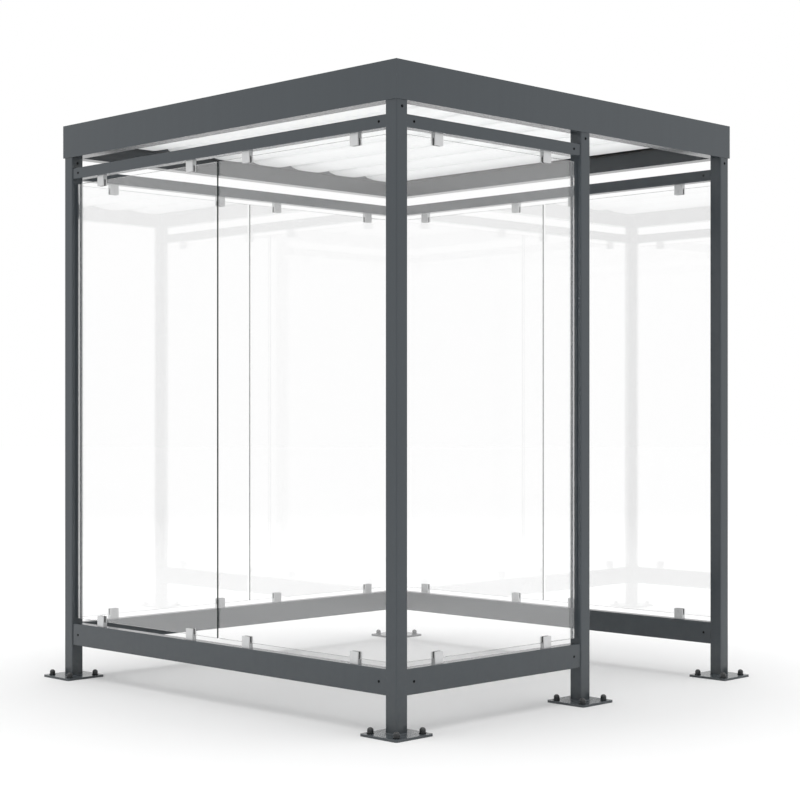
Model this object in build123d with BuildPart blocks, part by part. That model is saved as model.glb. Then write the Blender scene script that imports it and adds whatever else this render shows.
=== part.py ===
from build123d import *
import os

# Glass walled bus shelter: five posts on base plates, rails, clamped panes, a gutter frame and a roof sheet.
# Millimetres. Origin on the ground at the middle of the plan, +Z up, doorway side facing -Y.

os.makedirs("parts", exist_ok=True)

# Plan and heights
frame_width = 2180
frame_depth = 2180
post_top = 2406
doorway_clear = 962

# Posts
post_size = 60
post_corner = 5
post_wall = 3
post_hole = 10
post_hole_drop = 25

# Base plates
plate_size = 200
plate_thick = 10
plate_corner = 10
anchor_spacing = 140
anchor_hole = 14

# Rails
rail_width = 50
rail_corner = 4
rail_wall = 3
top_rail_height = 50
top_rail_gap = 50
bottom_rail_height = 100
bottom_rail_base = 152

# Spigots inside the rail ends and the post heads
spigot_wall = 4
spigot_clearance = 0.5
rail_spigot_length = 70
post_spigot_length = 60

# Panes
glass_thick = 8
glass_arris = 1
glass_post_gap = 12
glass_rail_gap = 22
glass_joint = 10

# Clamps and their liners
clamp_width = 46
clamp_height = 48
clamp_thick = 20
clamp_corner = 1.5
clamp_inset = 182
liner_thick = 1
liner_base = 2
liner_short = 2

# Gutter frame
fascia_height = 150
fascia_edge = 2
roof_ledge_height = 80
gutter_overhang = 5
gutter_wall = 3

# Roof sheet
roof_thick = 3
roof_bearing = 25
roof_bay = 267
roof_sag = 14
roof_rib_width = 44
roof_rib_height = 14
roof_edge_rise = 10
roof_clearance = 0.3

# Derived places
half_x = frame_width / 2
half_y = frame_depth / 2
post_x = half_x - post_size / 2
post_y = half_y - post_size / 2
doorway_post_x = half_x - post_size - doorway_clear - post_size / 2
top_rail_top = post_top - top_rail_gap
top_rail_base = top_rail_top - top_rail_height
bottom_rail_top = bottom_rail_base + bottom_rail_height
glass_base = bottom_rail_top + glass_rail_gap
glass_top = top_rail_base - glass_rail_gap
clear_x = frame_width - 2 * post_size
clear_y = frame_depth - 2 * post_size
front_clear = doorway_post_x - post_size / 2 + half_x - post_size
side_pane = (clear_y - 2 * glass_post_gap - glass_joint) / 2
back_pane = (clear_x - 2 * glass_post_gap - glass_joint) / 2
front_pane = front_clear - 2 * glass_post_gap
front_middle = doorway_post_x - post_size / 2 - front_clear / 2
slot_width = glass_thick + 2 * liner_thick
slot_base = glass_rail_gap - liner_base
roof_seat = post_top + roof_ledge_height + roof_clearance
roof_half_x = clear_x / 2 + roof_bearing
roof_half_y = clear_y / 2 + roof_bearing
ribs_a_side = int((roof_half_x - roof_rib_width) // roof_bay)


# Where each post stands
post_places = {
    "front_left": (-post_x, -post_y, -1),
    "front_right": (post_x, -post_y, -1),
    "back_left": (-post_x, post_y, 1),
    "back_right": (post_x, post_y, 1),
    "doorway": (doorway_post_x, -post_y, -1),
}


# A wall plane has its x along the wall, its y upward and its z out of the shelter
def wall_plane(side):
    if side == "front":
        return Plane(origin=(0, -post_y, 0), x_dir=(1, 0, 0), z_dir=(0, -1, 0))
    if side == "back":
        return Plane(origin=(0, post_y, 0), x_dir=(-1, 0, 0), z_dir=(0, 1, 0))
    if side == "left":
        return Plane(origin=(-post_x, 0, 0), x_dir=(0, -1, 0), z_dir=(-1, 0, 0))
    return Plane(origin=(post_x, 0, 0), x_dir=(0, 1, 0), z_dir=(1, 0, 0))


# Along each wall: the middle of the rails and their length
rail_runs = {
    "front": (front_middle, front_clear),
    "left": (0, clear_y),
    "back": (0, clear_x),
    "right": (0, clear_y),
}


# Square tube posts, welded on their base plates
for name, (x, y, out) in post_places.items():
    with BuildPart() as post:
        with BuildSketch(Plane.XY.offset(plate_thick)):
            with Locations((x, y)):
                RectangleRounded(post_size, post_size, post_corner)
                bore = post_size - 2 * post_wall
                Rectangle(bore, bore, mode=Mode.SUBTRACT)
        extrude(amount=post_top - plate_thick)
        # Screw hole of the roof frame in the outer face of the head
        hole_plane = Plane(
            origin=(x, y + out * post_size / 2, post_top - post_hole_drop),
            z_dir=(0, out, 0),
        )
        with BuildSketch(hole_plane):
            Circle(post_hole / 2)
        extrude(amount=-post_size / 2, mode=Mode.SUBTRACT)
    post.part.label = "post_" + name
    export_step(post.part, "parts/post_" + name + ".step")

    # Base plate with four anchor holes
    with BuildPart() as plate:
        with BuildSketch():
            with Locations((x, y)):
                RectangleRounded(plate_size, plate_size, plate_corner)
                with GridLocations(anchor_spacing, anchor_spacing, 2, 2):
                    Circle(anchor_hole / 2, mode=Mode.SUBTRACT)
        extrude(amount=plate_thick)
    plate.part.label = "base_plate_" + name
    export_step(plate.part, "parts/base_plate_" + name + ".step")


# Box section rails between the posts
def make_rail(side, base, height):
    middle, length = rail_runs[side]
    plane = wall_plane(side)
    start = plane.from_local_coords((middle - length / 2, base + height / 2, 0))
    with BuildPart() as rail:
        with BuildSketch(Plane(origin=start, x_dir=plane.z_dir, z_dir=plane.x_dir)):
            RectangleRounded(rail_width, height, rail_corner)
            Rectangle(rail_width - 2 * rail_wall, height - 2 * rail_wall, mode=Mode.SUBTRACT)
        extrude(amount=length)
    return rail.part


rail_rows = {
    "top": (top_rail_base, top_rail_height),
    "bottom": (bottom_rail_base, bottom_rail_height),
}

for row, (base, height) in rail_rows.items():
    for side in rail_runs:
        rail = make_rail(side, base, height)
        rail.label = row + "_rail_" + side
        export_step(rail, "parts/" + row + "_rail_" + side + ".step")


# Spigots welded to the posts, which carry the rail ends
with BuildPart() as rail_spigots:
    for base, height in rail_rows.values():
        for side, (middle, length) in rail_runs.items():
            plane = wall_plane(side)
            wide = rail_width - 2 * (rail_wall + spigot_clearance)
            tall = height - 2 * (rail_wall + spigot_clearance)
            for end in (-1, 1):
                start = plane.from_local_coords((middle + end * length / 2, base + height / 2, 0))
                with BuildSketch(Plane(origin=start, x_dir=plane.z_dir, z_dir=plane.x_dir * -end)):
                    Rectangle(wide, tall)
                    Rectangle(wide - 2 * spigot_wall, tall - 2 * spigot_wall, mode=Mode.SUBTRACT)
                extrude(amount=rail_spigot_length)
rail_spigots.part.label = "rail_spigots"
export_step(rail_spigots.part, "parts/rail_spigots.step")


# Spigots under the gutter frame, which plug into the post heads
with BuildPart() as head_spigots:
    with BuildSketch(Plane.XY.offset(post_top)):
        for x, y, out in post_places.values():
            with Locations((x, y)):
                spigot_size = post_size - 2 * (post_wall + spigot_clearance)
                Rectangle(spigot_size, spigot_size)
                Rectangle(spigot_size - 2 * spigot_wall, spigot_size - 2 * spigot_wall, mode=Mode.SUBTRACT)
    extrude(amount=-post_spigot_length)
head_spigots.part.label = "post_head_spigots"
export_step(head_spigots.part, "parts/post_head_spigots.step")


# Panes: name, wall, middle along the wall and width
pane_shift_y = (side_pane + glass_joint) / 2
pane_shift_x = (back_pane + glass_joint) / 2
panes = {
    "front": ("front", front_middle, front_pane),
    "left_front": ("left", pane_shift_y, side_pane),
    "left_back": ("left", -pane_shift_y, side_pane),
    "back_left": ("back", pane_shift_x, back_pane),
    "back_right": ("back", -pane_shift_x, back_pane),
    "right_front": ("right", -pane_shift_y, side_pane),
    "right_back": ("right", pane_shift_y, side_pane),
}


for name, (side, middle, width) in panes.items():
    plane = wall_plane(side)

    # Toughened pane with its arrises taken off
    with BuildPart() as glass:
        with BuildSketch(plane.offset(-glass_thick / 2)):
            with Locations((middle, (glass_base + glass_top) / 2)):
                Rectangle(width, glass_top - glass_base)
        extrude(amount=glass_thick)
        rims = glass.faces().sort_by(Axis(plane.origin, plane.z_dir))
        chamfer(rims[0].edges() + rims[-1].edges(), glass_arris)
    glass.part.label = "glass_" + name
    export_step(glass.part, "parts/glass_" + name + ".step")

    # Four slotted clamps grip each pane, two on each rail
    reach = width / 2 - clamp_inset
    with BuildPart() as clamps:
        for seat, up in ((top_rail_base, -1), (bottom_rail_top, 1)):
            for shift in (-reach, reach):
                with BuildSketch(plane.offset(-clamp_thick / 2)) as outline:
                    with Locations((middle + shift, seat + up * clamp_height / 2)):
                        Rectangle(clamp_width, clamp_height)
                    ends = outline.vertices().sort_by(Axis.Y)
                    chamfer(ends[-2:] if up > 0 else ends[:2], clamp_corner)
                extrude(amount=clamp_thick)
                # Slot for the pane and its liner
                with BuildSketch(plane.offset(-slot_width / 2)):
                    with Locations((middle + shift, seat + up * (slot_base + clamp_height / 2))):
                        Rectangle(2 * clamp_width, clamp_height)
                extrude(amount=slot_width, mode=Mode.SUBTRACT)
    clamps.part.label = "clamps_" + name
    export_step(clamps.part, "parts/clamps_" + name + ".step")


# U shaped liners between the clamps and the panes
for wall in rail_runs:
    plane = wall_plane(wall)
    with BuildPart() as liners:
        for side, middle, width in panes.values():
            if side == wall:
                reach = width / 2 - clamp_inset
                length = clamp_width - 2 * liner_short
                for seat, up in ((top_rail_base, -1), (bottom_rail_top, 1)):
                    for shift in (-reach, reach):
                        with BuildSketch(plane.offset(-slot_width / 2)):
                            with Locations((middle + shift, seat + up * (slot_base + clamp_height) / 2)):
                                Rectangle(length, clamp_height - slot_base)
                        extrude(amount=slot_width)
                        with BuildSketch(plane.offset(-glass_thick / 2)):
                            grip = clamp_height - glass_rail_gap
                            with Locations((middle + shift, seat + up * (glass_rail_gap + grip / 2))):
                                Rectangle(2 * clamp_width, grip)
                        extrude(amount=glass_thick, mode=Mode.SUBTRACT)
    liners.part.label = "clamp_liners_" + wall
    export_step(liners.part, "parts/clamp_liners_" + wall + ".step")


# Fascia panels round the roof, with a rolled lower edge and corners mitred at 45 degrees on plan
fascia_runs = {
    "front": (frame_width, (0, -half_y - gutter_overhang, post_top), (0, 1, 0), (1, 0, 0)),
    "back": (frame_width, (0, half_y + gutter_overhang, post_top), (0, -1, 0), (-1, 0, 0)),
    "left": (frame_depth, (-half_x - gutter_overhang, 0, post_top), (1, 0, 0), (0, -1, 0)),
    "right": (frame_depth, (half_x + gutter_overhang, 0, post_top), (-1, 0, 0), (0, 1, 0)),
}

for side, (run, start, inward, along) in fascia_runs.items():
    full = run + 2 * gutter_overhang
    plane = Plane(origin=start, x_dir=inward, z_dir=along)
    with BuildPart() as fascia:
        with BuildSketch(plane.offset(-full / 2)) as section:
            with Locations((gutter_wall / 2, fascia_height / 2)):
                Rectangle(gutter_wall, fascia_height)
            lower_edge = section.vertices().group_by(Axis.Y)[0].sort_by(Axis.X)[0]
            fillet(lower_edge, fascia_edge)
        extrude(amount=full)
        for end in (-1, 1):
            corner = plane.from_local_coords((0, 0, end * full / 2))
            split(bisect_by=Plane(origin=corner, z_dir=plane.x_dir + plane.z_dir * end), keep=Keep.BOTTOM)
    fascia.part.label = "fascia_" + side
    export_step(fascia.part, "parts/fascia_" + side + ".step")


# Gutter floor on the post heads, a flat frame between the fascia and the inside of the posts
floor_x = frame_width + 2 * (gutter_overhang - gutter_wall)
floor_y = frame_depth + 2 * (gutter_overhang - gutter_wall)
with BuildPart() as gutter_floor:
    with BuildSketch(Plane.XY.offset(post_top)):
        Rectangle(floor_x, floor_y)
        Rectangle(clear_x, clear_y, mode=Mode.SUBTRACT)
    extrude(amount=gutter_wall)
gutter_floor.part.label = "gutter_floor"
export_step(gutter_floor.part, "parts/gutter_floor.step")


# Ledge welded on the gutter floor all round, which closes the channel and bears the roof sheet
with BuildPart() as ledge:
    with BuildSketch(Plane.XY.offset(post_top + gutter_wall)):
        Rectangle(clear_x + 2 * gutter_wall, clear_y + 2 * gutter_wall)
        Rectangle(clear_x, clear_y, mode=Mode.SUBTRACT)
    extrude(amount=roof_ledge_height - gutter_wall)
ledge.part.label = "roof_ledge"
export_step(ledge.part, "parts/roof_ledge.step")


# Roof sheet of shallow pans between narrow ribs that run front to back, draining over the lips
with BuildPart() as roof:
    with BuildSketch(Plane.XZ):
        with BuildLine():
            for level in (roof_seat, roof_seat + roof_thick):
                foot = level + roof_sag
                last_foot = ribs_a_side * roof_bay + roof_rib_width / 2
                for rib in range(-ribs_a_side, ribs_a_side + 1):
                    middle = rib * roof_bay
                    ThreePointArc(
                        (middle - roof_rib_width / 2, foot),
                        (middle, foot + roof_rib_height),
                        (middle + roof_rib_width / 2, foot),
                    )
                for bay in range(-ribs_a_side, ribs_a_side):
                    middle = (bay + 0.5) * roof_bay
                    reach = (roof_bay - roof_rib_width) / 2
                    ThreePointArc((middle - reach, foot), (middle, level), (middle + reach, foot))
                for way in (-1, 1):
                    ThreePointArc(
                        (way * last_foot, foot),
                        (way * (last_foot + roof_half_x) / 2, level),
                        (way * roof_half_x, level + roof_edge_rise),
                    )
            for way in (-1, 1):
                edge = (way * roof_half_x, roof_seat + roof_edge_rise)
                Line(edge, (edge[0], edge[1] + roof_thick))
        make_face()
    extrude(amount=roof_half_y, both=True)
roof.part.label = "roof_sheet"
export_step(roof.part, "parts/roof_sheet.step")
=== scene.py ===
"""Looks for the glass walled bus shelter: its finishes, its small fasteners and a plain studio"""

import math

import bmesh
import bpy
from mathutils import Matrix, Vector


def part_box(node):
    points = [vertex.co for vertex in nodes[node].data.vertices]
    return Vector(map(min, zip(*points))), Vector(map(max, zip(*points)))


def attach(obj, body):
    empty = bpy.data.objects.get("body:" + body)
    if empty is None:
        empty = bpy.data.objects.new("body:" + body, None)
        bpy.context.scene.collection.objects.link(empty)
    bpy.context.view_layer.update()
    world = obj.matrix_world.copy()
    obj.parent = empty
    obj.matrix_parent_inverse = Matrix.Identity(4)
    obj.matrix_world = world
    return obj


bl_info = {
    "name": "Bus Shelter",
    "version": (1, 0, 0),
    "blender": (4, 5, 0),
    "location": "View3D > Sidebar > Shelter",
    "description": "Paints the packed bus shelter, adds its bolts and screws and sets up a studio",
    "category": "Object",
}

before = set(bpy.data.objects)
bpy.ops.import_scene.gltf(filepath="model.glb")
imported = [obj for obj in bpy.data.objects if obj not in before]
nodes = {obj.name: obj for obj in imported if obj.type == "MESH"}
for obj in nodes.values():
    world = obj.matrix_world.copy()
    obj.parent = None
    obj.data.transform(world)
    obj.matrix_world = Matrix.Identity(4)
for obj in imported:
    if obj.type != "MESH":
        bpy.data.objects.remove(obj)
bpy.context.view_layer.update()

POST_NAMES = ("front_left", "front_right", "back_left", "back_right", "doorway")
WALL_SIDES = ("front", "left", "back", "right")
PANE_WALLS = {
    "front": "front",
    "left_front": "left",
    "left_back": "left",
    "back_left": "back",
    "back_right": "back",
    "right_front": "right",
    "right_back": "right",
}
OUTWARD = {"front": (0, -1, 0), "back": (0, 1, 0), "left": (-1, 0, 0), "right": (1, 0, 0)}

# Fixed sizes of the fasteners, in metres
WASHER_THICK = 0.002
CAP_RECESS = 0.0022
SOCKET_ACROSS = 0.004
SOCKET_DEEP = 0.0014
SCREW_HEIGHT = 0.0018
GRUB_RADIUS = 0.0062
GRUB_HEIGHT = 0.0012
GRUB_SOCKET_DEEP = 0.0010
GRUB_SIDE_INSET = 0.023
GRUB_END_INSET = 0.034
ROOF_WASHER_RADIUS = 0.008
ROOF_WASHER_THICK = 0.0016
ROOF_HEAD_RADIUS = 0.0046
ROOF_HEAD_HEIGHT = 0.005
SEAL_THICK = 0.0028

# Shares of a dome cap's radius: its washer, its rolled foot and its rounded top
WASHER_SHARE = 1.14
CAP_FOOT_SHARE = 1.08
CAP_DOME_SHARE = 0.93

# Sizes of the CAD model that its boxes don't give, in metres
POST_CORNER = 0.005
LEDGE_THICK = 0.003
RIB_WIDTH = 0.044

# Places of dust and of painted shade, in metres
SPLASH_HEIGHT = 0.34
CREVICE_DEPTH = 0.030
CREVICE_LINE = 0.006
NO_CREVICE = 10.0
ROOF_SHADE_REACH = 0.19
ROOF_SHADE_FADE = 0.11
ROOF_LINE_WIDTH = 0.022

# The studio's floor in metres, and the camera's film in millimetres and shares of its width
FLOOR_RADIUS = 60
SENSOR_WIDTH = 36
CAMERA_SHIFT = (0.0044, 0.0191)


# Sizes and colours that a user would change

class ShelterFixings(bpy.types.PropertyGroup):
    """Sizes of the small fasteners"""

    bolt_spacing: bpy.props.FloatProperty(
        name="Bolt spacing", description="Distance between the anchor bolts of a base plate",
        default=0.140, min=0.08, max=0.18, unit="LENGTH")
    cap_radius: bpy.props.FloatProperty(
        name="Cap radius", description="Radius of the dome caps over the anchor bolts",
        default=0.0124, min=0.006, max=0.02, unit="LENGTH")
    cap_height: bpy.props.FloatProperty(
        name="Cap height", description="Height of the dome caps above their washers",
        default=0.022, min=0.012, max=0.05, unit="LENGTH")
    rail_screw_setback: bpy.props.FloatProperty(
        name="Rail screw setback", description="Distance from a rail's end to its screw",
        default=0.040, min=0.015, max=0.1, unit="LENGTH")
    head_screw_drop: bpy.props.FloatProperty(
        name="Head screw drop", description="Distance from a post's top to the screw of the roof frame",
        default=0.025, min=0.01, max=0.1, unit="LENGTH")
    screw_radius: bpy.props.FloatProperty(
        name="Screw radius", description="Radius of the black screw heads in the rails",
        default=0.0052, min=0.003, max=0.01, unit="LENGTH")
    head_screw_radius: bpy.props.FloatProperty(
        name="Head screw radius", description="Radius of the black screws in the post heads",
        default=0.0057, min=0.0051, max=0.012, unit="LENGTH")
    weld_leg: bpy.props.FloatProperty(
        name="Weld leg", description="Height of the weld bead round each post's foot",
        default=0.003, min=0.001, max=0.01, unit="LENGTH")
    roof_bay: bpy.props.FloatProperty(
        name="Roof bay", description="Distance between the ribs of the roof sheet",
        default=0.267, min=0.1, max=0.5, unit="LENGTH")


class ShelterColours(bpy.types.PropertyGroup):
    """Colours and surface values of the finishes"""

    paint: bpy.props.FloatVectorProperty(
        name="Frame paint", description="Anthracite powder coat of posts, rails and fascia",
        subtype="COLOR", size=3, min=0, max=1, default=(0.0475, 0.0585, 0.0675))
    paint_roughness: bpy.props.FloatProperty(
        name="Paint roughness", description="How matt the powder coat is",
        default=0.18, min=0, max=1, subtype="FACTOR")
    roof: bpy.props.FloatVectorProperty(
        name="Roof coat", description="White coat of the roof sheet",
        subtype="COLOR", size=3, min=0, max=1, default=(0.915, 0.92, 0.92))
    glass_haze: bpy.props.FloatProperty(
        name="Glass haze", description="Share of white haze that each face of a pane adds",
        default=0.013, min=0, max=1, subtype="FACTOR")
    glass_edge: bpy.props.FloatVectorProperty(
        name="Glass edge", description="Colour of the polished edges of a pane",
        subtype="COLOR", size=3, min=0, max=1, default=(0.016, 0.024, 0.022))
    clamp: bpy.props.FloatVectorProperty(
        name="Clamp metal", description="Satin metal of the glass clamps",
        subtype="COLOR", size=3, min=0, max=1, default=(0.64, 0.645, 0.65))
    black: bpy.props.FloatVectorProperty(
        name="Black fixings", description="Blackened screws and plastic caps",
        subtype="COLOR", size=3, min=0, max=1, default=(0.018, 0.020, 0.022))


class ShelterStudio(bpy.types.PropertyGroup):
    """The camera and the light of the studio"""

    camera_distance: bpy.props.FloatProperty(
        name="Camera distance", description="Distance from the middle of the plan to the camera",
        default=8.079, min=2, max=40, unit="LENGTH")
    camera_height: bpy.props.FloatProperty(
        name="Camera height", description="Height of the camera above the ground",
        default=1.214, min=0.1, max=10, unit="LENGTH")
    lens: bpy.props.FloatProperty(
        name="Lens", description="Focal length in millimetres", default=78.25, min=20, max=300)
    sky: bpy.props.FloatProperty(
        name="Sky", description="Strength of the even light all round", default=0.67, min=0, max=2)
    lamp: bpy.props.FloatProperty(
        name="Overhead light", description="Strength of the broad soft light from straight above",
        default=1.37, min=0, max=10)
    lamp_spread: bpy.props.FloatProperty(
        name="Light spread", description="Angle across the overhead light, in degrees",
        default=60, min=1, max=179)


# Helpers for shader nodes

class Value:
    """A number in a material's nodes, so that shader maths is written as plain expressions"""

    def __init__(self, finish, socket):
        self.finish = finish
        self.socket = socket

    def math(self, operation, first, second=None, clamp=False):
        inputs = {0: first} if second is None else {0: first, 1: second}
        node = self.finish.add("ShaderNodeMath", {"operation": operation, "use_clamp": clamp}, inputs)
        return Value(self.finish, node.outputs[0])

    def __add__(self, other):
        return self.math("ADD", self, other)

    def __radd__(self, other):
        return self.math("ADD", other, self)

    def __sub__(self, other):
        return self.math("SUBTRACT", self, other)

    def __rsub__(self, other):
        return self.math("SUBTRACT", other, self)

    def __mul__(self, other):
        return self.math("MULTIPLY", self, other)

    def __rmul__(self, other):
        return self.math("MULTIPLY", other, self)

    def __truediv__(self, other):
        return self.math("DIVIDE", self, other)

    def __rtruediv__(self, other):
        return self.math("DIVIDE", other, self)

    def __pow__(self, other):
        return self.math("POWER", self, other)

    def __abs__(self):
        return self.math("ABSOLUTE", self)

    def above(self, other):
        return self.math("GREATER_THAN", self, other)

    def larger(self, other):
        return self.math("MAXIMUM", self, other)

    def clamped(self):
        return self.math("ADD", self, 0.0, clamp=True)


class Finish:
    """A new material and the nodes in it"""

    def __init__(self, name):
        self.material = bpy.data.materials.new(name)
        self.material.use_nodes = True
        self.tree = self.material.node_tree
        self.tree.nodes.clear()
        self.output = self.add("ShaderNodeOutputMaterial")
        self.coords = self.add("ShaderNodeTexCoord")

    def add(self, kind, settings=None, inputs=None):
        """Adds a node, applies its settings and then fills its sockets with values or links"""
        node = self.tree.nodes.new(kind)
        for name, setting in (settings or {}).items():
            setattr(node, name, setting)
        for name, given in (inputs or {}).items():
            socket = node.inputs[name]
            if isinstance(given, Value):
                given = given.socket
            if isinstance(given, bpy.types.NodeSocket):
                self.tree.links.new(given, socket)
            elif isinstance(given, bpy.types.Node):
                self.tree.links.new(given.outputs[0], socket)
            else:
                socket.default_value = given
        return node

    def place(self):
        """The x, y and z of the point in the object, in metres"""
        split = self.add("ShaderNodeSeparateXYZ", None, {0: self.coords.outputs["Object"]})
        return [Value(self, split.outputs[i]) for i in range(3)]

    def facing(self):
        """The x, y and z of the surface's normal in the object"""
        split = self.add("ShaderNodeSeparateXYZ", None, {0: self.coords.outputs["Normal"]})
        return [Value(self, split.outputs[i]) for i in range(3)]

    def inward(self):
        """How squarely the surface faces the middle of the shelter, from 0 to about 1"""
        x, y = self.place()[:2]
        across, along = self.facing()[:2]
        return (0 - x * across - y * along).clamped()

    def noise(self, scale, detail=2.0, stretch=(1, 1, 1), roughness=0.5):
        """Noise with features of about one over scale metres, drawn out along an axis by stretch"""
        mapping = self.add("ShaderNodeMapping", None, {
            "Vector": self.coords.outputs["Object"], "Scale": stretch})
        node = self.add("ShaderNodeTexNoise", None, {
            "Vector": mapping, "Scale": scale, "Detail": detail, "Roughness": roughness})
        return Value(self, node.outputs["Fac"])

    def mix(self, share, first, second):
        """A mix of two colours"""
        node = self.add("ShaderNodeMix", {"data_type": "RGBA"}, {0: share, 6: first, 7: second})
        return node.outputs[2]

    def bump(self, height, distance, strength=1.0):
        """A bump node from a height between 0 and 1"""
        return self.add("ShaderNodeBump", None, {
            "Height": height, "Distance": distance, "Strength": strength})

    def surface(self, shader):
        """Sends a shader to the output and gives the material"""
        self.tree.links.new(shader.outputs[0], self.output.inputs["Surface"])
        return self.material


def shade(colour, factor):
    """A colour made lighter or darker, with its alpha"""
    return (*[min(1.0, channel * factor) for channel in colour], 1.0)


# Helpers for modelling

def clear_selection():
    """Leaves nothing selected and no mesh in edit mode"""
    if bpy.context.object is not None and bpy.context.object.mode != "OBJECT":
        bpy.ops.object.mode_set(mode="OBJECT")
    bpy.ops.object.select_all(action="DESELECT")


def only(piece):
    """Makes a piece the only selected object"""
    clear_selection()
    piece.select_set(True)
    bpy.context.view_layer.objects.active = piece


def edit_faces(piece, wanted):
    """Goes into edit mode with the faces selected for which wanted is true"""
    only(piece)
    bpy.ops.object.mode_set(mode="EDIT")
    bpy.ops.mesh.select_mode(type="FACE")
    bpy.ops.mesh.select_all(action="DESELECT")
    mesh = bmesh.from_edit_mesh(piece.data)
    for face in mesh.faces:
        face.select_set(bool(wanted(face)))
    bmesh.update_edit_mesh(piece.data)


def edit_edges(piece, wanted):
    """Goes into edit mode with the edges selected for which wanted is true"""
    only(piece)
    bpy.ops.object.mode_set(mode="EDIT")
    bpy.ops.mesh.select_mode(type="EDGE")
    bpy.ops.mesh.select_all(action="DESELECT")
    mesh = bmesh.from_edit_mesh(piece.data)
    for edge in mesh.edges:
        edge.select_set(bool(wanted(edge)))
    bmesh.update_edit_mesh(piece.data)


def leave_edit():
    bpy.ops.object.mode_set(mode="OBJECT")


def level(edge, height, slack=1e-5):
    """True for an edge that lies flat at a height"""
    return all(abs(vert.co.z - height) < slack for vert in edge.verts)


def stub(vertices, radius, height, base=0.0):
    """A short cylinder round the Z axis that stands on a height"""
    clear_selection()
    bpy.ops.mesh.primitive_cylinder_add(
        vertices=vertices, radius=radius, depth=height, location=(0, 0, base + height / 2))
    bpy.ops.object.transform_apply(location=True, rotation=False, scale=False)
    return bpy.context.object


def round_edges(piece, height, offset, segments):
    """Bevels the edges of a piece that lie at a height"""
    edit_edges(piece, lambda edge: level(edge, height))
    bpy.ops.mesh.bevel(offset=offset, segments=segments, profile=0.5)
    leave_edit()


def set_out(pattern, places):
    """Copies a pattern, modelled at the origin, to each place and joins the copies to one piece"""
    copies = []
    for place in places:
        only(pattern)
        bpy.ops.object.duplicate()
        copy = bpy.context.object
        copy.matrix_world = place
        bpy.ops.object.transform_apply(location=True, rotation=True, scale=True)
        copies.append(copy)
    only(pattern)
    bpy.ops.object.delete()
    clear_selection()
    for copy in copies:
        copy.select_set(True)
    bpy.context.view_layer.objects.active = copies[0]
    bpy.ops.object.join()
    return bpy.context.object


def finished(piece, name, material, angle=35):
    """Names a finished piece, gives it its material and slot, and lets it ride on the shelter"""
    only(piece)
    bpy.ops.object.transform_apply(location=True, rotation=True, scale=True)
    bpy.ops.object.shade_smooth_by_angle(angle=math.radians(angle))
    piece.name = name
    piece.data.name = name
    piece.data.materials.clear()
    piece.data.materials.append(material)
    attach(piece, "root")
    return piece


def facing_out(place, outward):
    """A matrix that puts a pattern's origin at place with its top towards outward"""
    turn = Vector(outward).to_track_quat("Z", "Y").to_matrix().to_4x4()
    return Matrix.Translation(place) @ turn


def corners(node_name):
    """The low and the high corner of a CAD node's box"""
    low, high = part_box(node_name)
    return Vector(low), Vector(high)


def post_middle(name):
    """The x and y of a post's middle"""
    low, high = corners("post_" + name)
    return (low.x + high.x) / 2, (low.y + high.y) / 2


# Finishes

def powder_coat(name, colour, roughness, peel_depth=0.22, crevice=NO_CREVICE):
    """Anthracite powder coat with a fine orange peel, a soft uneven tone, dust low down and faint streaks

    Faces towards the middle of the shelter get painted shade. Painted shade darkens the last few
    centimetres below a crevice's height, and on the side walls it ends in a painted shadow line."""
    coat = Finish(name)
    z = coat.place()[2]
    across, _, up = coat.facing()
    cloud = coat.noise(2.2, 3.0)
    upright = 1 - abs(up)
    streak = coat.noise(1.0, 2.0, stretch=(38, 38, 0.9)) * upright + (1 - upright) * 0.5
    grain = coat.noise(1300, 1.0)
    peel = coat.noise(520, 1.5)
    splash = ((SPLASH_HEIGHT - z) / SPLASH_HEIGHT).clamped() * coat.noise(24, 4.0, roughness=0.65)
    tone = (cloud * 0.5 + streak * 0.35 + grain * 0.15).clamped()
    paint = coat.mix(tone, shade(colour, 0.90), shade(colour, 1.12))
    # Painted shade on faces towards the shelter's middle and up to the crevice, and a painted shadow line
    # along the crevice on the side walls
    darkening = ((z - crevice + CREVICE_DEPTH) / CREVICE_DEPTH).clamped() ** 3.0
    painted_shade = coat.mix((coat.inward() * 0.35 + darkening * 0.9).clamped(), paint, shade(colour, 0.3))
    shadow_line = z.above(crevice - CREVICE_LINE) * abs(across)
    shadow_lined = coat.mix(shadow_line, painted_shade, shade(colour, 0.05))
    dusty = coat.mix(splash * 0.16, shadow_lined, (0.24, 0.235, 0.22, 1))
    rough = (roughness - 0.04 + streak * 0.05 + cloud * 0.03 + splash * 0.14).clamped()
    shader = coat.add("ShaderNodeBsdfPrincipled", None, {
        "Base Color": dusty, "Roughness": rough, "IOR": 1.5,
        "Normal": coat.bump(peel, 0.00006, peel_depth)})
    return coat.surface(shader)


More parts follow.
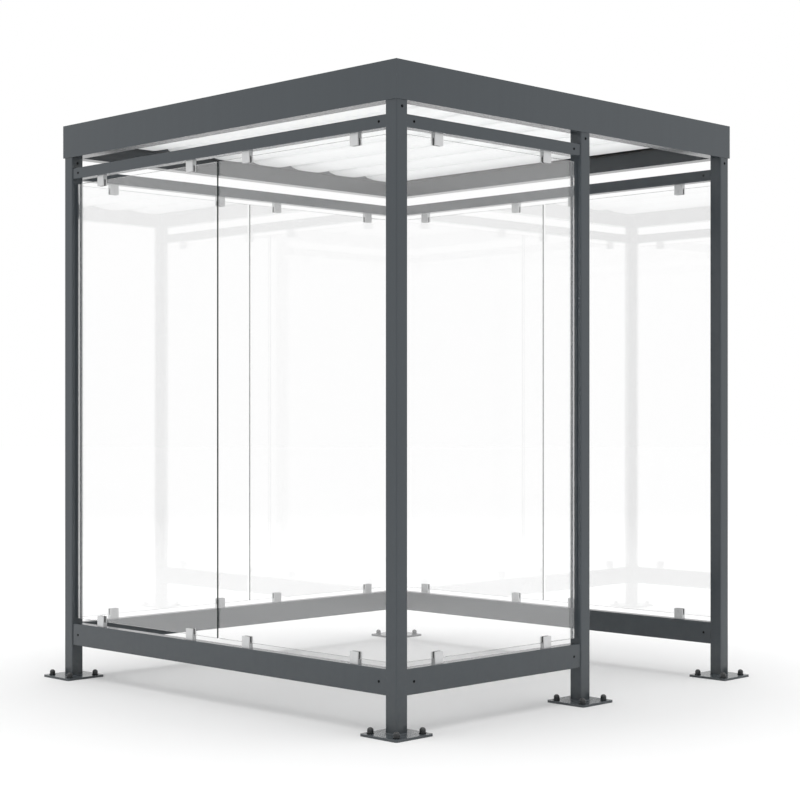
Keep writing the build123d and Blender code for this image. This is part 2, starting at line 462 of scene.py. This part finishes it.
def roof_coat(name, colour, ledge):
    """White coil coat of the roof sheet, which lets light through, with faint grime along the pans

    It has a soft painted shade near the ledge, and a painted shadow line where its side edges meet the
    ledge."""
    coat = Finish(name)
    x, y = coat.place()[:2]
    # Painted shade near the ledge, and a painted shadow line along the side edges of the sheet
    ledge_shade = ((abs(x).larger(abs(y)) - (ledge - ROOF_SHADE_REACH)) / ROOF_SHADE_FADE).clamped()
    shadow_line = abs(x).above(ledge - ROOF_LINE_WIDTH)
    cloud = coat.noise(3.0, 4.0)
    run = coat.noise(1.0, 3.0, stretch=(26, 1.6, 26))
    fine = coat.noise(700, 1.0)
    darkening = ((run - 0.45) * 1.6).clamped() * 0.25 + cloud * 0.15
    clean = coat.mix(darkening.clamped(), shade(colour, 1.02), shade(colour, 0.95))
    tone = coat.mix(shadow_line, coat.mix(ledge_shade * 0.28, clean, shade(colour, 0.75)), shade(colour, 0.01))
    skin = coat.add("ShaderNodeBsdfPrincipled", None, {
        "Base Color": tone, "Roughness": (0.15 + darkening * 0.12).clamped(),
        "Normal": coat.bump(fine, 0.00005, 0.3)})
    glow = coat.add("ShaderNodeBsdfTranslucent", None, {"Color": tone})
    return coat.surface(coat.add("ShaderNodeMixShader", None, {0: 0.67, 1: skin, 2: glow}))


def pane_glass(name, axis, haze, edge):
    """Clear toughened glass, a little hazy and dusty, with dark green polished edges

    The axis is the one that the pane's faces look along, 0 for x and 1 for y."""
    glass = Finish(name)
    x, y, z = glass.place()
    facing = glass.facing()
    geometry = glass.add("ShaderNodeNewGeometry")
    inside = Value(glass, geometry.outputs["Backfacing"])
    rim = 1 - abs(facing[axis]).above(0.9)
    # Seen through the glass, an upright rim beside a post mirrors and one at a joint of two panes is clear
    upright = 1 - abs(facing[2]).above(0.9)
    joint = (1 - abs((y, x)[axis]).above(0.01)) * y.above((-2, 0)[axis])
    dark = rim * (1 - inside * upright)
    mirrored = rim * inside * upright * (1 - joint)
    wipe = glass.noise(1.6, 3.0, stretch=(1, 1, 2.4))
    drops = ((glass.noise(160, 2.0) - 0.66) * 9).clamped() * ((0.95 - z) / 0.8).clamped()
    veil = haze * (0.5 + wipe) + drops * 0.03
    clear = glass.add("ShaderNodeBsdfTransparent", None, {"Color": (1, 1, 1, 1)})
    mirror = glass.add("ShaderNodeBsdfGlossy", None, {"Color": (1, 1, 1, 1), "Roughness": 0.01})
    slant = Value(glass, glass.add("ShaderNodeLayerWeight", None, {"Blend": 0.5}).outputs["Facing"])
    gloss = (0.115 + slant ** 5.0 * 0.885) * (1 - rim) + mirrored * 0.55
    body = glass.add("ShaderNodeMixShader", None, {0: gloss, 1: clear, 2: mirror})
    film = glass.add("ShaderNodeBsdfDiffuse", None, {
        "Color": (0.93, 0.94, 0.94, 1), "Roughness": 0.0})
    hazy = glass.add("ShaderNodeMixShader", None, {0: veil, 1: body, 2: film})
    tint = glass.mix(glass.noise(30, 2.0), shade(edge, 0.8), shade(edge, 1.25))
    polished = glass.add("ShaderNodeBsdfPrincipled", None, {"Base Color": tint, "Roughness": 0.14})
    return glass.surface(glass.add("ShaderNodeMixShader", None, {0: dark, 1: hazy, 2: polished}))


def satin_metal(name, colour):
    """Satin stainless steel with a fine vertical brushing, and painted shade on faces towards the
    shelter's middle
    """
    metal = Finish(name)
    brush = metal.noise(1.0, 2.0, stretch=(2600, 2600, 90))
    stain = metal.noise(55, 3.0)
    tone = metal.mix(stain, shade(colour, 0.92), shade(colour, 1.08))
    # Painted shade on faces towards the shelter's middle
    inward_shaded = metal.mix(metal.inward() * 0.42, tone, shade(colour, 0.55))
    shader = metal.add("ShaderNodeBsdfPrincipled", None, {
        "Base Color": inward_shaded, "Metallic": 0.6,
        "Roughness": (0.27 + brush * 0.08 + stain * 0.05).clamped(),
        "Normal": metal.bump(brush, 0.00002, 0.4)})
    return metal.surface(shader)


def black_rubber(name, shine):
    """Matt black rubber of the clamp liners and the roof seal, with a little shine or none"""
    rubber = Finish(name)
    grain = rubber.noise(900, 2.0)
    tone = rubber.mix(grain, (0.012, 0.012, 0.013, 1), (0.030, 0.030, 0.031, 1))
    shader = rubber.add("ShaderNodeBsdfPrincipled", None, {
        "Base Color": tone, "Roughness": 0.66 + grain * 0.14, "Specular IOR Level": shine,
        "Normal": rubber.bump(grain, 0.00005, 0.5)})
    return rubber.surface(shader)


def black_plastic(name, colour):
    """Black plastic of the dome caps, with a fine moulded grain and dust on top"""
    plastic = Finish(name)
    grain = plastic.noise(1500, 1.0)
    dust = plastic.facing()[2].clamped() * plastic.noise(180, 3.0)
    tone = plastic.mix((dust * 0.22).clamped(), shade(colour, 1.0), (0.20, 0.20, 0.19, 1))
    shader = plastic.add("ShaderNodeBsdfPrincipled", None, {
        "Base Color": tone, "Roughness": (0.26 + dust * 0.2).clamped(),
        "Normal": plastic.bump(grain, 0.00004, 0.4)})
    return plastic.surface(shader)


def black_steel(name, colour):
    """Blackened steel of the screws and of the washers under the caps"""
    steel = Finish(name)
    wear = ((steel.noise(1400, 3.0) - 0.58) * 4).clamped()
    tone = steel.mix(wear * 0.4, shade(colour, 0.20), shade(colour, 1.0))
    shader = steel.add("ShaderNodeBsdfPrincipled", None, {
        "Base Color": tone, "Metallic": 0.0, "Specular IOR Level": 0.03,
        "Roughness": (0.62 - wear * 0.12).clamped()})
    return steel.surface(shader)


def zinc_steel(name):
    """Zinc coated steel with its soft spangle"""
    zinc = Finish(name)
    spangle = zinc.add("ShaderNodeTexVoronoi", None, {
        "Vector": zinc.coords.outputs["Object"], "Scale": 120.0})
    crystal = Value(zinc, spangle.outputs["Distance"])
    fine = zinc.noise(400, 2.0)
    tone = zinc.mix((crystal + fine * 0.4).clamped(), (0.50, 0.51, 0.52, 1), (0.66, 0.67, 0.68, 1))
    shader = zinc.add("ShaderNodeBsdfPrincipled", None, {
        "Base Color": tone, "Metallic": 1.0, "Roughness": (0.34 + crystal * 0.3).clamped()})
    return zinc.surface(shader)


def weld_metal(name, colour):
    """Painted weld bead with the ripples of its run"""
    weld = Finish(name)
    ripple = weld.noise(330, 1.0)
    tone = weld.mix(weld.noise(90, 2.0), shade(colour, 0.85), shade(colour, 1.1))
    shader = weld.add("ShaderNodeBsdfPrincipled", None, {
        "Base Color": tone, "Roughness": 0.40 + ripple * 0.1,
        "Normal": weld.bump(ripple, 0.0006, 0.8)})
    return weld.surface(shader)


def give(node_names, material):
    """Puts a material on every slot of some CAD nodes"""
    for node_name in node_names:
        for holder in nodes[node_name].material_slots:
            holder.material = material


# Operators, one for each group of pieces

class SHELTER_OT_paint_frame(bpy.types.Operator):
    """Powder coat the posts, plates, rails, fascia and gutter, and zinc coat the hidden spigots"""

    bl_idname = "shelter.paint_frame"
    bl_label = "Paint the frame"

    def execute(self, context):
        colours = context.scene.shelter_colours
        frame_paint = powder_coat("post_and_rail_paint", colours.paint, colours.paint_roughness)
        give(["post_" + name for name in POST_NAMES], frame_paint)
        give(["base_plate_" + name for name in POST_NAMES], frame_paint)
        give([row + "_rail_" + side for row in ("top", "bottom") for side in WALL_SIDES], frame_paint)
        fascia_paint = powder_coat("fascia_paint", colours.paint, colours.paint_roughness)
        give(["fascia_" + side for side in WALL_SIDES], fascia_paint)
        # The gutter floor and ledge get a darker copy of the frame paint, as painted shade
        gutter_paint = powder_coat(
            "gutter_paint", shade(colours.paint, 0.6)[:3], colours.paint_roughness,
            peel_depth=0.006, crevice=corners("roof_ledge")[1].z)
        give(["gutter_floor", "roof_ledge"], gutter_paint)
        give(["rail_spigots", "post_head_spigots"], zinc_steel("spigot_zinc"))
        return {"FINISHED"}


class SHELTER_OT_coat_roof(bpy.types.Operator):
    """Coat the roof sheet white"""

    bl_idname = "shelter.coat_roof"
    bl_label = "Coat the roof sheet"

    def execute(self, context):
        colour = context.scene.shelter_colours.roof
        give(["roof_sheet"], roof_coat("roof_sheet_coat", colour, corners("roof_ledge")[1].x))
        return {"FINISHED"}


class SHELTER_OT_glaze(bpy.types.Operator):
    """Give the panes their glass, the clamps their metal and the liners their rubber"""

    bl_idname = "shelter.glaze"
    bl_label = "Glaze the walls"

    def execute(self, context):
        colours = context.scene.shelter_colours
        for axis, name in ((0, "side_wall_glass"), (1, "end_wall_glass")):
            glass = pane_glass(name, axis, colours.glass_haze, colours.glass_edge)
            give(["glass_" + pane for pane, wall in PANE_WALLS.items() if OUTWARD[wall][axis]], glass)
        give(["clamps_" + pane for pane in PANE_WALLS], satin_metal("clamp_satin", colours.clamp))
        give(["clamp_liners_" + wall for wall in WALL_SIDES], black_rubber("liner_black", 0.3))
        return {"FINISHED"}


class SHELTER_OT_anchor_bolts(bpy.types.Operator):
    """Set a washer and a dome cap over each anchor bolt of the base plates"""

    bl_idname = "shelter.anchor_bolts"
    bl_label = "Set the anchor bolts"

    def execute(self, context):
        fixings = context.scene.shelter_fixings
        colours = context.scene.shelter_colours
        top = corners("base_plate_front_left")[1].z
        places = []
        for name in POST_NAMES:
            x, y = post_middle(name)
            for across in (-0.5, 0.5):
                for along in (-0.5, 0.5):
                    places.append(Matrix.Translation((
                        x + across * fixings.bolt_spacing, y + along * fixings.bolt_spacing, top)))

        washer = stub(32, fixings.cap_radius * WASHER_SHARE, WASHER_THICK)
        round_edges(washer, WASHER_THICK, offset=0.0006, segments=2)
        washers = set_out(washer, places)
        finished(washers, "anchor_washers", black_steel("washer_black", colours.black))

        cap = stub(32, fixings.cap_radius, fixings.cap_height, base=WASHER_THICK)
        dome = fixings.cap_radius * CAP_DOME_SHARE
        round_edges(cap, WASHER_THICK + fixings.cap_height, offset=dome, segments=8)
        # Rolled foot of the cap
        edit_faces(cap, lambda face: face.normal.z < -0.9)
        bpy.ops.mesh.extrude_region_move(TRANSFORM_OT_translate={"value": (0, 0, 0)})
        bpy.ops.transform.resize(value=(CAP_FOOT_SHARE, CAP_FOOT_SHARE, 1))
        bpy.ops.mesh.extrude_region_move(TRANSFORM_OT_translate={"value": (0, 0, CAP_RECESS)})
        leave_edit()
        caps = set_out(cap, places)
        finished(caps, "anchor_caps", black_plastic("cap_black", colours.black))
        return {"FINISHED"}


def socket_screw(radius, height, socket_deep):
    """A low domed screw head with a hexagon socket, its top towards +Z, at the origin"""
    head = stub(32, radius, height)
    round_edges(head, height, offset=min(height * 0.8, radius * 0.35), segments=4)
    key = stub(6, SOCKET_ACROSS / math.sqrt(3), 2 * socket_deep, base=height - socket_deep)
    only(head)
    cut = head.modifiers.new("socket", "BOOLEAN")
    cut.operation = "DIFFERENCE"
    cut.object = key
    cut.solver = "EXACT"
    bpy.ops.object.modifier_apply(modifier=cut.name)
    only(key)
    bpy.ops.object.delete()
    return head


class SHELTER_OT_rail_screws(bpy.types.Operator):
    """Set a black screw in each face of each rail end, and one in each post head"""

    bl_idname = "shelter.rail_screws"
    bl_label = "Set the rail and head screws"

    def execute(self, context):
        fixings = context.scene.shelter_fixings
        colours = context.scene.shelter_colours
        black = black_steel("screw_black", colours.black)
        places = []
        for row in ("top", "bottom"):
            for side in WALL_SIDES:
                low, high = corners(row + "_rail_" + side)
                outward = Vector(OUTWARD[side])
                along = 0 if abs(outward.y) > 0.5 else 1
                middle = (low + high) / 2
                half = (high - low) / 2
                for end in (-1, 1):
                    for face in (-1, 1):
                        place = middle.copy()
                        place[along] += end * (half[along] - fixings.rail_screw_setback)
                        place += outward * face * half[1 - along]
                        places.append(facing_out(place, outward * face))
        screws = set_out(socket_screw(fixings.screw_radius, SCREW_HEIGHT, SOCKET_DEEP), places)
        finished(screws, "rail_screws", black)

        places = []
        for name in POST_NAMES:
            low, high = corners("post_" + name)
            # Every head has its screw in front, and a back post has a second one behind
            for way in (-1, 1) if name.startswith("back") else (-1,):
                face = high.y if way > 0 else low.y
                place = Vector(((low.x + high.x) / 2, face, high.z - fixings.head_screw_drop))
                places.append(facing_out(place, (0, way, 0)))
        heads = set_out(socket_screw(fixings.head_screw_radius, SCREW_HEIGHT, SOCKET_DEEP), places)
        finished(heads, "head_screws", black)
        return {"FINISHED"}


class SHELTER_OT_clamp_screws(bpy.types.Operator):
    """Set the grub screw in the inner face of each glass clamp"""

    bl_idname = "shelter.clamp_screws"
    bl_label = "Set the clamp screws"

    def execute(self, context):
        colours = context.scene.shelter_colours
        places = []
        for pane, wall in PANE_WALLS.items():
            outward = Vector(OUTWARD[wall])
            low, high = corners("clamps_" + pane)
            along = 0 if abs(outward.y) > 0.5 else 1
            inner = (low + high) / 2 - outward * (high - low)[1 - along] / 2
            for side_place in (low[along] + GRUB_SIDE_INSET, high[along] - GRUB_SIDE_INSET):
                for end_place in (low.z + GRUB_END_INSET, high.z - GRUB_END_INSET):
                    place = inner.copy()
                    place[along] = side_place
                    place.z = end_place
                    places.append(facing_out(place, -outward))
        screws = set_out(socket_screw(GRUB_RADIUS, GRUB_HEIGHT, GRUB_SOCKET_DEEP), places)
        satin = satin_metal("clamp_screw_satin", shade(colours.clamp, 0.88)[:3])
        finished(screws, "clamp_screws", satin)
        return {"FINISHED"}


class SHELTER_OT_foot_welds(bpy.types.Operator):
    """Run a weld bead round the foot of each post"""

    bl_idname = "shelter.foot_welds"
    bl_label = "Weld the post feet"

    def execute(self, context):
        fixings = context.scene.shelter_fixings
        colours = context.scene.shelter_colours
        leg = fixings.weld_leg
        top = corners("base_plate_front_left")[1].z
        low, high = corners("post_front_left")
        width = high.x - low.x
        round_foot, clearance = 0.002, 0.0004
        clear_selection()
        bpy.ops.mesh.primitive_cube_add(size=1, location=(0, 0, leg / 2))
        bead = bpy.context.object
        bead.scale = (width + 2 * leg, width + 2 * leg, leg)
        bpy.ops.object.transform_apply(location=True, rotation=False, scale=True)
        edit_edges(bead, lambda edge: abs(edge.verts[0].co.z - edge.verts[1].co.z) > leg / 2)
        bpy.ops.mesh.bevel(offset=POST_CORNER + leg, segments=6)
        leave_edit()
        # The bead rises to the post, and its top is open round the foot
        edit_faces(bead, lambda face: face.normal.z > 0.9)
        narrow = (width + clearance) / (width + 2 * leg)
        bpy.ops.transform.resize(value=(narrow, narrow, 1))
        bpy.ops.mesh.inset(thickness=round_foot)
        bpy.ops.mesh.delete(type="FACE")
        leave_edit()
        edit_faces(bead, lambda face: face.normal.z < -0.9)
        bpy.ops.mesh.inset(thickness=leg + round_foot)
        bpy.ops.mesh.delete(type="FACE")
        leave_edit()
        only(bead)
        bpy.ops.object.mode_set(mode="EDIT")
        bpy.ops.mesh.select_mode(type="EDGE")
        bpy.ops.mesh.select_all(action="DESELECT")
        bpy.ops.mesh.select_non_manifold()
        bpy.ops.mesh.bridge_edge_loops()
        bpy.ops.mesh.select_all(action="SELECT")
        bpy.ops.mesh.normals_make_consistent(inside=False)
        leave_edit()
        places = [Matrix.Translation((*post_middle(name), top)) for name in POST_NAMES]
        welds = set_out(bead, places)
        finished(welds, "foot_welds", weld_metal("weld_paint", colours.paint))
        return {"FINISHED"}


class SHELTER_OT_roof_screws(bpy.types.Operator):
    """Set the roof screws with their sealing washers on the ribs, over the ledge"""

    bl_idname = "shelter.roof_screws"
    bl_label = "Set the roof screws"

    def execute(self, context):
        fixings = context.scene.shelter_fixings
        sheet_top = corners("roof_sheet")[1]
        reach = corners("roof_ledge")[1].y - LEDGE_THICK / 2
        ribs = int((sheet_top.x - RIB_WIDTH) // fixings.roof_bay)
        sunk = 0.0002
        places = []
        for rib in range(-ribs, ribs + 1):
            for way in (-1, 1):
                places.append(Matrix.Translation((
                    rib * fixings.roof_bay, way * reach, sheet_top.z - sunk)))
        washer = stub(28, ROOF_WASHER_RADIUS, ROOF_WASHER_THICK)
        round_edges(washer, ROOF_WASHER_THICK, offset=0.0009, segments=3)
        head = stub(6, ROOF_HEAD_RADIUS, ROOF_HEAD_HEIGHT, base=ROOF_WASHER_THICK)
        round_edges(head, ROOF_WASHER_THICK + ROOF_HEAD_HEIGHT, offset=0.0006, segments=2)
        clear_selection()
        washer.select_set(True)
        head.select_set(True)
        bpy.context.view_layer.objects.active = washer
        bpy.ops.object.join()
        screws = set_out(bpy.context.object, places)
        finished(screws, "roof_screws", zinc_steel("roof_screw_zinc"))
        return {"FINISHED"}


class SHELTER_OT_roof_seal(bpy.types.Operator):
    """Lay a rubber seal on the ledge under each side edge of the roof sheet"""

    bl_idname = "shelter.roof_seal"
    bl_label = "Lay the roof seal"

    def execute(self, context):
        ledge_top = corners("roof_ledge")[1]
        slack = 0.0001
        middle = ledge_top.z + slack * 1.5
        clear_selection()
        bpy.ops.mesh.primitive_cube_add(size=1, location=(0, 0, middle))
        strip = bpy.context.object
        strip.scale = (SEAL_THICK, 2 * (ledge_top.y - slack), slack)
        bpy.ops.object.transform_apply(location=True, rotation=False, scale=True)
        reach = ledge_top.x - slack - SEAL_THICK / 2
        seal = set_out(strip, [Matrix.Translation((way * reach, 0, 0)) for way in (-1, 1)])
        # The top of each strip rises to the underside of the sheet
        top = seal.vertex_groups.new(name="top")
        top.add([vert.index for vert in seal.data.vertices if vert.co.z > middle], 1.0, "REPLACE")
        rise = seal.modifiers.new("rise", "SHRINKWRAP")
        rise.target = nodes["roof_sheet"]
        rise.wrap_method = "PROJECT"
        rise.use_project_z = True
        rise.use_positive_direction = True
        rise.use_negative_direction = False
        rise.vertex_group = top.name
        bpy.ops.object.modifier_apply(modifier=rise.name)
        finished(seal, "roof_seal", black_rubber("seal_black", 0.1))
        return {"FINISHED"}


class SHELTER_OT_studio(bpy.types.Operator):
    """Lay a plain white floor, and set the camera, the soft light and the white background"""

    bl_idname = "shelter.studio"
    bl_label = "Set up the studio"

    def execute(self, context):
        studio = context.scene.shelter_studio
        scene = context.scene

        # A matt floor that is a little brighter where it is seen, most of all around the shelter
        floor_finish = Finish("studio_floor")
        seen = floor_finish.add("ShaderNodeLightPath")
        ways = [Value(floor_finish, seen.outputs[name])
                for name in ("Is Camera Ray", "Is Glossy Ray", "Is Transmission Ray")]
        x, y = floor_finish.place()[:2]
        reach = (x * x + y * y) ** 0.5
        far = ((reach - 1.5) / 1.6).clamped() * (1 - ((reach - 4.5) / 9).clamped())
        lift = (ways[0] + ways[1] + ways[2]).clamped() * (0.01 + far * 0.13)
        matt = floor_finish.add("ShaderNodeBsdfDiffuse", None, {"Color": (0.90, 0.90, 0.90, 1)})
        glow = floor_finish.add("ShaderNodeEmission", None, {"Color": (1, 1, 1, 1), "Strength": lift})
        both = floor_finish.add("ShaderNodeAddShader", None, {0: matt, 1: glow})
        floor_material = floor_finish.surface(both)

        clear_selection()
        bpy.ops.mesh.primitive_circle_add(
            vertices=96, radius=FLOOR_RADIUS, fill_type="NGON", location=(0, 0, 0))
        floor = bpy.context.object
        floor.name = "studio_floor"
        floor.data.materials.append(floor_material)

        # The sky is white where it is seen or mirrored, and dimmer as a light
        world = bpy.data.worlds.new("studio_sky")
        scene.world = world
        world.use_nodes = True
        tree = world.node_tree
        tree.nodes.clear()
        path = tree.nodes.new("ShaderNodeLightPath")
        camera_or_glossy = tree.nodes.new("ShaderNodeMath")
        tree.links.new(path.outputs["Is Camera Ray"], camera_or_glossy.inputs[0])
        tree.links.new(path.outputs["Is Glossy Ray"], camera_or_glossy.inputs[1])
        any_way = tree.nodes.new("ShaderNodeMath")
        any_way.use_clamp = True
        tree.links.new(camera_or_glossy.outputs[0], any_way.inputs[0])
        tree.links.new(path.outputs["Is Transmission Ray"], any_way.inputs[1])
        strength = tree.nodes.new("ShaderNodeMapRange")
        tree.links.new(any_way.outputs[0], strength.inputs["Value"])
        strength.inputs["To Min"].default_value = studio.sky
        strength.inputs["To Max"].default_value = 1.0
        background = tree.nodes.new("ShaderNodeBackground")
        background.inputs["Color"].default_value = (1, 1, 1, 1)
        tree.links.new(strength.outputs["Result"], background.inputs["Strength"])
        out = tree.nodes.new("ShaderNodeOutputWorld")
        tree.links.new(background.outputs[0], out.inputs["Surface"])

        # One broad soft light from straight above
        bpy.ops.object.light_add(type="SUN", location=(0, 0, 6))
        lamp = bpy.context.object
        lamp.name = "overhead_light"
        lamp.data.energy = studio.lamp
        lamp.data.angle = math.radians(studio.lamp_spread)

        # The camera looks level at the corner between the left and the front wall
        reach = studio.camera_distance / math.sqrt(2)
        bpy.ops.object.camera_add(
            location=(-reach, -reach, studio.camera_height),
            rotation=(math.radians(90), 0, math.radians(-45)))
        camera = bpy.context.object
        camera.name = "studio_camera"
        camera.data.lens = studio.lens
        camera.data.sensor_width = SENSOR_WIDTH
        camera.data.sensor_fit = "HORIZONTAL"
        camera.data.shift_x, camera.data.shift_y = CAMERA_SHIFT
        camera.data.clip_end = 200
        scene.camera = camera
        scene.view_settings.view_transform = "Standard"
        return {"FINISHED"}


class SHELTER_PT_panel(bpy.types.Panel):
    """Lists the steps that dress the shelter"""

    bl_idname = "SHELTER_PT_panel"
    bl_label = "Bus shelter"
    bl_space_type = "VIEW_3D"
    bl_region_type = "UI"
    bl_category = "Shelter"

    def draw(self, context):
        for step in STEPS:
            self.layout.operator(step.bl_idname)
        for group_name, group in GROUPS.items():
            box = self.layout.box()
            for name in group.__annotations__:
                box.prop(getattr(context.scene, group_name), name)


STEPS = (
    SHELTER_OT_paint_frame,
    SHELTER_OT_coat_roof,
    SHELTER_OT_glaze,
    SHELTER_OT_anchor_bolts,
    SHELTER_OT_rail_screws,
    SHELTER_OT_clamp_screws,
    SHELTER_OT_foot_welds,
    SHELTER_OT_roof_screws,
    SHELTER_OT_roof_seal,
    SHELTER_OT_studio,
)
GROUPS = {
    "shelter_fixings": ShelterFixings,
    "shelter_colours": ShelterColours,
    "shelter_studio": ShelterStudio,
}


def register():
    for group in GROUPS.values():
        bpy.utils.register_class(group)
    for name, group in GROUPS.items():
        setattr(bpy.types.Scene, name, bpy.props.PointerProperty(type=group))
    for step in STEPS:
        bpy.utils.register_class(step)
    bpy.utils.register_class(SHELTER_PT_panel)


def unregister():
    bpy.utils.unregister_class(SHELTER_PT_panel)
    for step in reversed(STEPS):
        bpy.utils.unregister_class(step)
    for name, group in GROUPS.items():
        delattr(bpy.types.Scene, name)
        bpy.utils.unregister_class(group)


def main():
    register()
    bpy.ops.shelter.paint_frame()
    bpy.ops.shelter.coat_roof()
    bpy.ops.shelter.glaze()
    bpy.ops.shelter.anchor_bolts()
    bpy.ops.shelter.rail_screws()
    bpy.ops.shelter.clamp_screws()
    bpy.ops.shelter.foot_welds()
    bpy.ops.shelter.roof_screws()
    bpy.ops.shelter.roof_seal()
    bpy.ops.shelter.studio()
    clear_selection()


if __name__ == "__main__":
    main()
